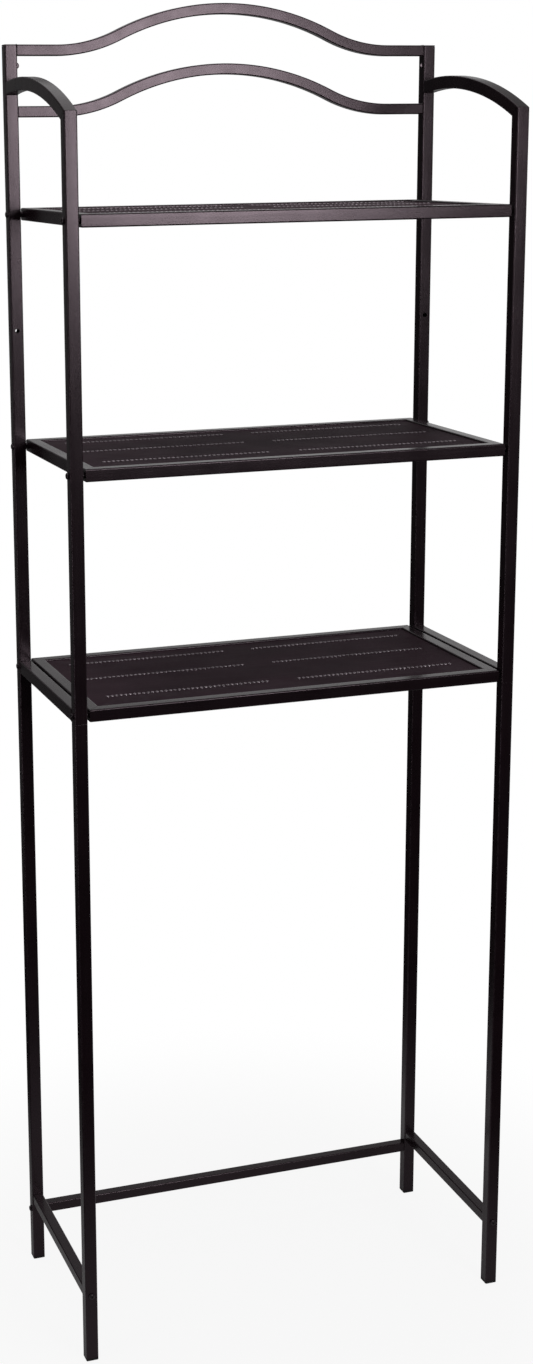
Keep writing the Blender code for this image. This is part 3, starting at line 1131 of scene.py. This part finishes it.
@dataclass
class BackArches:
    """Two camel-back arches between the rear posts."""

    section: Section = SLIM
    rise: float = 0.053         # crown above the straight ends
    straight: float = 0.052     # straight end beside each rear post
    foot_radius: float = 0.194  # hollow bend where the arch leaves its straight end
    steps: int = 26             # lengths of tube in each hollow bend

    def build(self) -> None:
        """Make both back arches."""
        for level in ("upper", "lower"):
            self.arch(f"back_arch_{level}")
            log.info("back arch %s", level)

    def ends(self, node: str) -> tuple[Vector, Vector]:
        """Middles of the arch's ends.

        Args:
            node: the arch's CAD node.

        Returns:
            The left one and the right one.
        """
        low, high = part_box(node)
        middle = (low + high) / 2
        height = high.z - self.rise - self.section.size / 2
        return Vector((low.x, middle.y, height)), Vector((high.x, middle.y, height))

    def arch(self, node: str) -> None:
        """One arch: straight end, hollow bend, crown, hollow bend, straight end.

        Args:
            node: the arch's CAD node.
        """
        left, right = self.ends(node)
        foot = right.x - self.straight
        turn = 2 * math.atan(self.rise / foot)
        crown_radius = foot / math.sin(turn) - self.foot_radius
        lift = Z * self.foot_radius
        middle = (left + right) / 2
        run = TubeRun(self.section, left, Y, X).straight(self.straight)
        run.bend(middle - X * foot + lift, -Y, turn, self.steps)
        run.bend(middle + Z * (self.rise - crown_radius), Y, 2 * turn, self.steps * 2)
        run.bend(middle + X * foot + lift, -Y, turn, self.steps)
        run.straight(self.straight)
        Dress(BRONZE).piece(f"{node}_tube", run.close(), node)


@dataclass
class Rails:
    """Straight rails between the posts and legs."""

    wide: Section = WIDE
    slim: Section = SLIM

    def build(self) -> None:
        """Make the side rails and the rear crossbar."""
        for side in SIDES:
            self.rail(f"upper_side_rail_{side}", self.wide, Y, Grain.ALONG_Y)
            self.rail(f"bottom_side_rail_{side}", self.slim, Y, Grain.ALONG_Y)
        self.rail("rear_crossbar", self.slim, X, Grain.ALONG_X)
        log.info("rails")

    def rail(self, node: str, section: Section, along: Vector, grain: Grain) -> None:
        """Straight tube as long as a CAD node.

        Args:
            node: the CAD node.
            section: the tube's section.
            along: direction of the rail.
            grain: direction of its drawn lines.
        """
        low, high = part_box(node)
        length = (high - low).dot(along)
        start = (low + high) / 2 - along * length / 2
        run = TubeRun(section, start, Z, along).straight(length)
        Dress(BRONZE, grain).piece(f"{node}_tube", run.close(), node)


@dataclass
class PerforatedPanel:
    """Sheet panel with folded edges and rows of small raised holes."""

    sheet: float = 0.0008           # thickness
    fold: float = 0.0009            # outer radius of the folded edges
    fold_steps: int = 4
    pitch: float = 0.006
    first_hole: float = 0.0225      # nearest holes to each side of the middle
    holes: int = 37                 # in each half of a row
    rows: tuple[float, ...] = (-0.079, 0.0115, 0.091)   # from the panel's middle
    hole_radius: float = 0.00125
    collar_radius: float = 0.0023
    collar_height: float = 0.0008
    shoulder_height: float = 0.0006
    shoulder_step: float = 0.0002   # shoulder inside the collar's foot
    crown_step: float = 0.00045     # crown inside the collar's foot
    mouth_flare: float = 0.0003     # mouth wider than the hole
    throat_height: float = 0.00048  # where the mouth has narrowed to the hole
    sides: int = 12
    strip_merge: float = 2e-5       # between the corners of neighbouring cells
    level_slack: float = 1e-5       # height within which edges lie in one face
    collar_start: float = 0.00008   # faces higher than this get the collars' lighter coat, a painted glint
    edge_width: float = 0.0007

    def build(self, level: str) -> None:
        """Make one shelf's panel.

        Args:
            level: the shelf's name.
        """
        node = f"shelf_{level}_panel"
        low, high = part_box(node)
        bm = self.strips()
        self.surround(bm, (high - low) / 2)
        middle = middle_of(node)
        bmesh.ops.translate(bm, vec=(middle.x, middle.y, high.z), verts=bm.verts)
        dress = Dress(PANEL_BRONZE, Grain.ALONG_X, self.edge_width)
        mesh = dress.piece(f"{node}_sheet", bm, node).data
        # The collars' faces get the lighter coat of painted glints.
        mesh.materials.append(COLLAR_GLINT_BRONZE.material(Grain.NONE))
        for face in mesh.polygons:
            if face.center.z > high.z + self.collar_start:
                face.material_index = 1

    def strips(self) -> BMesh:
        """All rows of cells, each cell with its own hole.

        Returns:
            The rows' mesh.
        """
        stamp = bpy.data.meshes.new("cell")
        cell = self.cell()
        cell.to_mesh(stamp)
        cell.free()
        bm = bmesh.new()
        for row in self.rows:
            for sign in (-1, 1):
                for hole in range(self.holes):
                    known = len(bm.verts)
                    bm.from_mesh(stamp)
                    bm.verts.ensure_lookup_table()
                    place = Vector((sign * (self.first_hole + hole * self.pitch), row, 0.0))
                    bmesh.ops.translate(bm, vec=place, verts=bm.verts[known:])
        bpy.data.meshes.remove(stamp)
        bmesh.ops.remove_doubles(bm, verts=bm.verts, dist=self.strip_merge)
        return bm

    def cell(self) -> BMesh:
        """Square of sheet with one raised hole, its top face at z = 0.

        Returns:
            The cell's mesh.
        """
        bm = bmesh.new()
        rings = (
            (0.0, self.collar_radius),
            (self.shoulder_height, self.collar_radius - self.shoulder_step),
            (self.collar_height, self.collar_radius - self.crown_step),
            (self.collar_height, self.hole_radius + self.mouth_flare),
            (self.throat_height, self.hole_radius),
            (-self.sheet, self.hole_radius),
        )
        loops = [self.border(bm, 0.0)]
        for height, radius in rings:
            made = bmesh.ops.create_circle(bm, segments=self.sides, radius=radius)["verts"]
            bmesh.ops.translate(bm, vec=Z * height, verts=made)
            loops.append(edges_at(made))
        loops.append(self.border(bm, -self.sheet))
        for near, far in zip(loops, loops[1:]):
            bridge(bm, near + far, Z)
        return bm

    def border(self, bm: BMesh, height: float) -> list[BMEdge]:
        """Square outline of a cell with as many edges as the hole has sides.

        Args:
            bm: the cell's mesh.
            height: height of the outline.

        Returns:
            The outline's edges.
        """
        parts = self.sides // 4
        grid = bmesh.ops.create_grid(
            bm, x_segments=parts, y_segments=parts, size=self.pitch / 2
        )["verts"]
        bmesh.ops.translate(bm, vec=Z * height, verts=grid)
        faces = list(dict.fromkeys(face for vert in grid for face in vert.link_faces))
        whole = bmesh.ops.dissolve_faces(bm, faces=faces, use_verts=False)["region"]
        edges = list(whole[0].edges)
        bmesh.ops.delete(bm, geom=whole, context="FACES_ONLY")
        return edges

    def surround(self, bm: BMesh, half: Vector) -> None:
        """Fill the plain sheet round the rows of holes and fold its edges down.

        Args:
            bm: mesh with the rows of holes.
            half: half the panel's size.
        """
        outlines = [self.fill(bm, half, 0.0, 0.0), self.fill(bm, half, -self.sheet, self.sheet)]
        hems = []
        for outline, depth in zip(outlines, (2 * half.z, 2 * half.z - self.sheet)):
            hems += extend(bm, outline, -Z * depth)
        bridge(bm, hems, Z)
        bmesh.ops.recalc_face_normals(bm, faces=bm.faces)
        corners = edges_at(verts_of(outlines[0]))
        upright = [
            edge for edge in corners if abs(edge.verts[0].co.z - edge.verts[1].co.z) > half.z
        ]
        soften(bm, outlines[0] + upright, self.fold, self.fold_steps)

    def fill(self, bm: BMesh, half: Vector, height: float, inset: float) -> list[BMEdge]:
        """Fill one face of the sheet between the rows of holes and the panel's outline.

        Args:
            bm: mesh with the rows of holes.
            half: half the panel's size.
            height: height of the face.
            inset: how far its outline lies inside the panel's.

        Returns:
            The outline's edges.
        """
        open_edges = [
            edge
            for edge in bm.edges
            if edge.is_boundary and abs(edge.verts[0].co.z - height) < self.level_slack
        ]
        square = bmesh.ops.create_grid(bm, x_segments=1, y_segments=1, size=1.0)["verts"]
        outline = edges_at(square)
        bmesh.ops.delete(bm, geom=list(square[0].link_faces), context="FACES_ONLY")
        size = (half.x - inset, half.y - inset, 1.0)
        bmesh.ops.scale(bm, vec=size, verts=square)
        bmesh.ops.translate(bm, vec=Z * height, verts=square)
        bmesh.ops.triangle_fill(
            bm, use_beauty=True, use_dissolve=False, edges=open_edges + outline
        )
        return outline


@dataclass
class Shelf:
    """Mitred frame of four bars with a sheet panel inside it."""

    level: str
    section: Section = SHELF
    mitre_gap: float = 0.00015
    spacer_radius: float = 0.004
    spacer_sides: int = 28
    spacer_round: float = 0.0003
    spacer_round_steps: int = 2

    def build(self) -> None:
        """Make the frame, its spacers and its panel."""
        bars = (("front", X, Y), ("rear", X, -Y), ("left", Y, X), ("right", Y, -X))
        for name, along, inward in bars:
            self.bar(f"shelf_{self.level}_{name}_bar", along, inward)
        PerforatedPanel().build(self.level)
        for side in SIDES:
            for end in ENDS:
                self.spacer(side, end)
        log.info("%s shelf", self.level)

    def frame_box(self) -> tuple[Vector, Vector]:
        """Box of the frame's four bars.

        Returns:
            Its lowest and highest corner.
        """
        low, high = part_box(f"shelf_{self.level}_front_bar")
        _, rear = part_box(f"shelf_{self.level}_rear_bar")
        return low, Vector((high.x, rear.y, high.z))

    def bar(self, node: str, along: Vector, inward: Vector) -> None:
        """One bar, its ends mitred at 45 degrees.

        Args:
            node: the CAD node.
            along: direction of the bar.
            inward: direction from the bar to the panel.
        """
        low, high = self.frame_box()
        half = (high - low) / 2
        reach = half.dot(along)
        outer = (low + high) / 2 - inward * abs(half.dot(inward))
        centre = outer + inward * self.section.size / 2
        run = TubeRun(self.section, centre - along * reach, Z, along).straight(2 * reach)
        for edges, sign in ((run.first, -1), (run.last, 1)):
            point = outer + along * sign * (reach - self.mitre_gap)
            run.mitre(edges, point, (along * sign + inward).normalized())
        grain = Grain.ALONG_X if along == X else Grain.ALONG_Y
        Dress(BRONZE, grain).piece(f"{node}_tube", run.close(), node)

    def spacer(self, side: str, end: str) -> None:
        """Round spacer between the frame and a post, where a bolt passes.

        Args:
            side: the rack's side.
            end: the rack's front or rear.
        """
        low, high = self.frame_box()
        post_low, post_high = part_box(f"{end}_post_{side}")
        faces = (high.x, post_low.x) if side == "right" else (low.x, post_high.x)
        place = middle_of(f"bolt_{self.level}_{end}_{side}")
        place.x = sum(faces) / 2
        bm = bmesh.new()
        depth = abs(faces[0] - faces[1])
        matrix = seat_matrix(place, Z, X)
        cylinder(bm, self.spacer_radius, depth, self.spacer_sides, matrix)
        rims = [edge for edge in bm.edges if edge.calc_face_angle(0.0) > SHARP_ANGLE]
        soften(bm, rims, self.spacer_round, self.spacer_round_steps)
        Dress(WELD_BRONZE).piece(f"spacer_{self.level}_{end}_{side}", bm)


class Head(Enum):
    """Kinds of round head, by how their nodes' names start."""

    SOCKET = "bolt_"
    PLUG = "post_plug_"


@dataclass
class Fasteners:
    """Domed socket bolts, and plain domed plugs on the rear posts' inner faces."""

    radius: float = 0.0041
    rim: float = 0.0007             # straight side under the dome
    bolt_height: float = 0.0026
    plug_height: float = 0.0012
    plug_stand: float = 0.0022      # how far the CAD plug stands off the post
    back_radius: float = 0.002255   # the head's back, which tapers into the tube's face
    back_depth: float = 0.0004
    dome_steps: int = 7
    sides: int = 36
    socket_radius: float = 0.00165
    socket_depth: float = 0.0014
    lip: float = 0.00018
    edge_round: float = 0.00012
    edge_round_steps: int = 2
    edge_width: float = 0.0002

    def build(self) -> None:
        """Make every bolt and plug."""
        for head in Head:
            for node in sorted(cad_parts):
                if node.startswith(head.value):
                    self.fastener(node, head)
        log.info("bolts and plugs")

    def fastener(self, node: str, head: Head) -> None:
        """One bolt or plug.

        Args:
            node: the CAD node.
            head: kind of head.
        """
        low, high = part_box(node)
        middle = (low + high) / 2
        axis = max((X, Y, Z), key=(high - low).dot)
        facing = axis if middle.dot(axis) > 0 else -axis
        stand = self.bolt_height
        if head is Head.PLUG:
            facing = -facing
            stand = self.plug_stand
        seat = middle + facing * ((high - low).dot(axis) / 2 - stand)
        bm = self.turned(head)
        across = facing.orthogonal().normalized()
        bmesh.ops.transform(bm, matrix=seat_matrix(seat, across, facing), verts=bm.verts)
        dress = Dress(BLACK_STEEL, edge_width=self.edge_width)
        dress.piece(f"{node}_head", bm, node)

    def turned(self, head: Head) -> BMesh:
        """Head turned round Z, its seat at z = 0.

        Args:
            head: kind of head.

        Returns:
            The head's mesh.
        """
        height = self.bolt_height if head is Head.SOCKET else self.plug_height
        flat = self.socket_radius + self.lip if head is Head.SOCKET else 0.0
        outline = [(self.back_radius, -self.back_depth), (self.radius, 0.0)]
        for step in range(self.dome_steps + 1):
            angle = step / self.dome_steps * math.pi / 2
            out = flat + (self.radius - flat) * math.cos(angle)
            outline.append((out, self.rim + (height - self.rim) * math.sin(angle)))
        bm = bmesh.new()
        verts = [bm.verts.new((out, 0.0, up)) for out, up in outline]
        edges = [bm.edges.new(pair) for pair in zip(verts, verts[1:])]
        bmesh.ops.spin(
            bm,
            geom=verts + edges,
            cent=(0.0, 0.0, 0.0),
            axis=Z,
            dvec=(0.0, 0.0, 0.0),
            angle=2 * math.pi,
            steps=self.sides,
            use_merge=True,
            use_normal_flip=False,
            use_duplicate=False,
        )
        bmesh.ops.remove_doubles(bm, verts=bm.verts, dist=MERGE)
        rims = rim_in(bm.edges)
        back = [edge for edge in rims if edge.verts[0].co.z < 0]
        bmesh.ops.edgeloop_fill(bm, edges=back)
        if head is Head.SOCKET:
            self.socket(bm, [edge for edge in rims if edge not in back])
        bmesh.ops.recalc_face_normals(bm, faces=bm.faces)
        sharp = [edge for edge in bm.edges if edge.calc_face_angle(0.0) > SHARP_ANGLE]
        soften(bm, sharp, self.edge_round, self.edge_round_steps)
        return bm

    def socket(self, bm: BMesh, rim: list[BMEdge]) -> None:
        """Hexagon socket in the top of a bolt's head.

        Args:
            bm: the head's mesh.
            rim: edges round the opening at the top of the dome.
        """
        verts = bmesh.ops.create_circle(bm, segments=self.sides, radius=self.socket_radius)["verts"]
        sector = math.pi / 3
        for vert in verts:
            turn = math.atan2(vert.co.y, vert.co.x) % sector - sector / 2
            flat = math.cos(sector / 2) / math.cos(turn)
            vert.co = Vector((vert.co.x * flat, vert.co.y * flat, self.bolt_height))
        mouth = edges_at(verts)
        bridge(bm, rim + mouth, Z)
        floor = extend(bm, mouth, -Z * self.socket_depth)
        bmesh.ops.edgeloop_fill(bm, edges=floor)


@dataclass
class Welds:
    """Small fillet beads where a tube's end meets the side of another."""

    leg: float = 0.0005
    hollow: float = 0.85        # 1 for a quarter circle, less for a flatter bead
    bite: float = 0.00015
    rows: int = 4

    def build(self) -> None:
        """Make the beads of the back arches and the upper side rails."""
        arches = BackArches()
        for level in ("upper", "lower"):
            node = f"back_arch_{level}"
            for side, end, facing in zip(SIDES, arches.ends(node), (-X, X)):
                self.bead(f"weld_{node}_{side}", arches.section, end, facing, Z)
        for side in SIDES:
            node = f"upper_side_rail_{side}"
            middle = middle_of(node)
            for end, corner, facing in zip(ENDS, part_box(node), (-Y, Y)):
                place = Vector((middle.x, corner.y, middle.z))
                self.bead(f"weld_side_rail_{end}_{side}", Rails().wide, place, facing, Z)
        log.info("weld beads")

    def bead(
        self, name: str, section: Section, end: Vector, facing: Vector, across: Vector
    ) -> None:
        """Fillet all round a tube's end.

        Args:
            name: the piece's name.
            section: section of the tube.
            end: middle of the tube's end.
            facing: direction in which the end faces.
            across: direction of the section's own X.
        """
        outline = [(0.0, 0.0)]
        for row in range(1, self.rows):
            angle = row / self.rows * math.pi / 2
            rise = self.hollow * math.sin(angle) * self.leg
            out = (1 - self.hollow * math.cos(angle)) * self.leg
            outline.append((rise, out))
        outline += [(self.leg, self.leg), (self.leg, -self.bite)]
        bm = bmesh.new()
        half = section.size / 2
        width = half - self.bite
        height = 0.0
        first = rounded_square(bm, width, section.corner, section.steps)
        ring = first
        for rise, out in outline:
            ring = extend(bm, ring, Z * (rise - height))
            grow = (half + out) / width
            bmesh.ops.scale(bm, vec=(grow, grow, 1.0), verts=verts_of(ring))
            width = half + out
            height = rise
        bridge(bm, first + ring, Z)
        bmesh.ops.translate(bm, vec=Z * (GAP - self.leg), verts=bm.verts)
        bmesh.ops.transform(bm, matrix=seat_matrix(end, across, facing), verts=bm.verts)
        Dress(WELD_BRONZE).piece(name, bm)


@dataclass(frozen=True)
class Lamp:
    """Rectangular soft light."""

    name: str
    place: Three
    aim: Three
    width: float
    height: float
    power: float

    def build(self) -> None:
        """Hang the lamp and point it at its aim."""
        data = bpy.data.lights.new(self.name, "AREA")
        data.shape = "RECTANGLE"
        data.size = self.width
        data.size_y = self.height
        data.energy = self.power
        made = bpy.data.objects.new(self.name, data)
        bpy.context.scene.collection.objects.link(made)
        made.location = self.place
        heading = Vector(self.aim) - Vector(self.place)
        made.rotation_mode = "QUATERNION"
        made.rotation_quaternion = heading.to_track_quat("-Z", "Y")


@dataclass
class Studio:
    """Pale floor, soft lamps, the room's light and the camera."""

    lamps: tuple[Lamp, ...] = (
        Lamp("front_softbox", (0.74, -2.5, 1.74), (0.0, 0.0, 1.6), 0.75, 0.85, 22.5),
        Lamp("left_strip", (-2.5, -0.9, 1.0), (0.0, 0.0, 1.0), 0.4, 2.2, 8.0),
        Lamp("rear_softbox", (0.3, 1.9, 3.3), (-0.1, 0.0, 1.5), 1.4, 1.5, 3.2),
        Lamp("overhead", (-0.5, -0.2, 3.4), (0.0, 0.0, 0.0), 2.0, 2.0, 20.0),
    )
    room_light: float = 0.35
    room_gloss: Pair = (0.01, 0.25)         # room in reflections, dim side and bright side
    bright_side: Three = (0.82, 0.47, 0.33)        # direction of the bright side
    bright_edge: Pair = (0.1, 0.5)
    backdrop: Three = (0.450, 0.863, 0.230)        # middle of the white backdrop, once squashed
    backdrop_edge: Pair = (0.94, 1.03)
    backdrop_squash: Three = (1.0, 1.0, 1.6)       # of the heading, for a backdrop wider than high
    floor_radius: float = 1.7
    floor_sides: int = 96
    floor_fade: Pair = (0.25, 0.85)
    floor_near: float = 0.55
    floor_far: float = 0.02
    floor_lift: float = 0.9         # share of white on the floor beside the rack
    camera_place: Three = (-0.96098, -2.47087, 1.57078)
    camera_yaw: float = 0.30474
    camera_pitch: float = -0.21413
    camera_roll: float = -0.01253
    focal_length: float = 53.96
    sensor: float = 36.0
    shift: Pair = (0.1010, -0.0691)
    far_clip: float = 50.0

    def build(self) -> None:
        """Set up everything round the rack."""
        scene = bpy.context.scene
        scene.view_settings.view_transform = "Standard"
        for lamp in self.lamps:
            lamp.build()
        self.floor(scene)
        self.room(scene)
        self.camera(scene)
        log.info("studio")

    def floor(self, scene: Scene) -> None:
        """Round pale floor that fades into the white room away from the rack.

        Args:
            scene: the scene.
        """
        bm = bmesh.new()
        bmesh.ops.create_circle(
            bm, cap_ends=True, segments=self.floor_sides, radius=self.floor_radius
        )
        mesh = bpy.data.meshes.new("floor")
        bm.to_mesh(mesh)
        bm.free()
        mesh.materials.append(self.floor_material())
        made = bpy.data.objects.new("floor", mesh)
        scene.collection.objects.link(made)

    def white_seen(self, wiring: Wiring, heading: NodeSocket) -> NodeSocket:
        """How much of the white background a ray sees.

        The camera and clear materials see it all round, reflections see it as the backdrop.

        Args:
            wiring: nodes of the floor's material or the world.
            heading: socket with the unit direction that is looked up.

        Returns:
            Socket that is 1 where the background is white.
        """
        tall = wiring.vector("MULTIPLY", heading, self.backdrop_squash)
        even = wiring.vector("NORMALIZE", tall)
        towards = wiring.vector("DOT_PRODUCT", even, self.backdrop)
        backdrop = wiring.ramp(towards, self.backdrop_edge, smooth=True)
        ray = wiring.node("LightPath").outputs
        clear = wiring.math("MAXIMUM", ray["Is Camera Ray"], ray["Is Transmission Ray"])
        mirrored = wiring.math("MULTIPLY", ray["Is Glossy Ray"], backdrop)
        return wiring.math("MAXIMUM", clear, mirrored)

    def floor_material(self) -> Material:
        """Matt pale floor, lifted to white where the eye and reflections see it.

        Returns:
            The material.
        """
        made = bpy.data.materials.new("pale_floor")
        made.use_nodes = True
        made.node_tree.nodes.clear()
        wiring = Wiring(made.node_tree)
        place = wiring.node("TexCoord").outputs["Object"]
        far = wiring.ramp(wiring.vector("LENGTH", place), self.floor_fade, smooth=True)
        near_grey, far_grey = ((grey, grey, grey, 1.0) for grey in (self.floor_near, self.floor_far))
        matt = wiring.node("BsdfDiffuse", {"Color": wiring.blend(far, near_grey, far_grey)})
        white = wiring.node("Emission", {"Color": WHITE, "Strength": 1.0})
        seen = self.white_seen(wiring, wiring.vector("NORMALIZE", place))
        rise = wiring.ramp(far, (0.0, 1.0), (self.floor_lift, 1.0))
        lift = wiring.math("MULTIPLY", rise, seen)
        surface = wiring.mix(lift, matt.outputs["BSDF"], white.outputs["Emission"])
        wiring.node("OutputMaterial", {"Surface": surface})
        return made

    def room(self, scene: Scene) -> None:
        """White background, with a dimmer room round it for light and reflections.

        Args:
            scene: the scene.
        """
        scene.world = bpy.data.worlds.new("room")
        scene.world.use_nodes = True
        scene.world.node_tree.nodes.clear()
        wiring = Wiring(scene.world.node_tree)
        heading = wiring.node("TexCoord").outputs["Generated"]
        side = wiring.vector("DOT_PRODUCT", heading, self.bright_side)
        gloss = wiring.ramp(side, self.bright_edge, self.room_gloss)
        glossy = wiring.node("LightPath").outputs["Is Glossy Ray"]
        light, shine, white = (
            wiring.node("Background", {"Color": WHITE, "Strength": strength}).outputs["Background"]
            for strength in (self.room_light, gloss, 1.0)
        )
        unlit = wiring.mix(glossy, light, shine)
        surface = wiring.mix(self.white_seen(wiring, heading), unlit, white)
        wiring.node("OutputWorld", {"Surface": surface})

    def camera(self, scene: Scene) -> None:
        """Camera to the left of the rack's front, a little above its top shelf.

        Args:
            scene: the scene.
        """
        data = bpy.data.cameras.new("camera")
        data.lens = self.focal_length
        data.sensor_width = self.sensor
        data.shift_x, data.shift_y = self.shift
        data.clip_end = self.far_clip
        made = bpy.data.objects.new("camera", data)
        scene.collection.objects.link(made)
        level = Vector((math.sin(self.camera_yaw), math.cos(self.camera_yaw), 0.0))
        right = level.cross(Z)
        forward = level * math.cos(self.camera_pitch) + Z * math.sin(self.camera_pitch)
        right = Matrix.Rotation(-self.camera_roll, 3, forward) @ right
        turn = Matrix((right, right.cross(forward), -forward)).transposed().to_4x4()
        made.matrix_world = Matrix.Translation(self.camera_place) @ turn
        scene.camera = made


def main() -> None:
    """Build the rack and the studio round it."""
    logging.basicConfig(level=logging.INFO, format="%(message)s")
    Studio().build()
    Uprights().build()
    SideArches().build()
    BackArches().build()
    Rails().build()
    for level in LEVELS:
        Shelf(level).build()
    Fasteners().build()
    Welds().build()


if __name__ == "__main__":
    main()
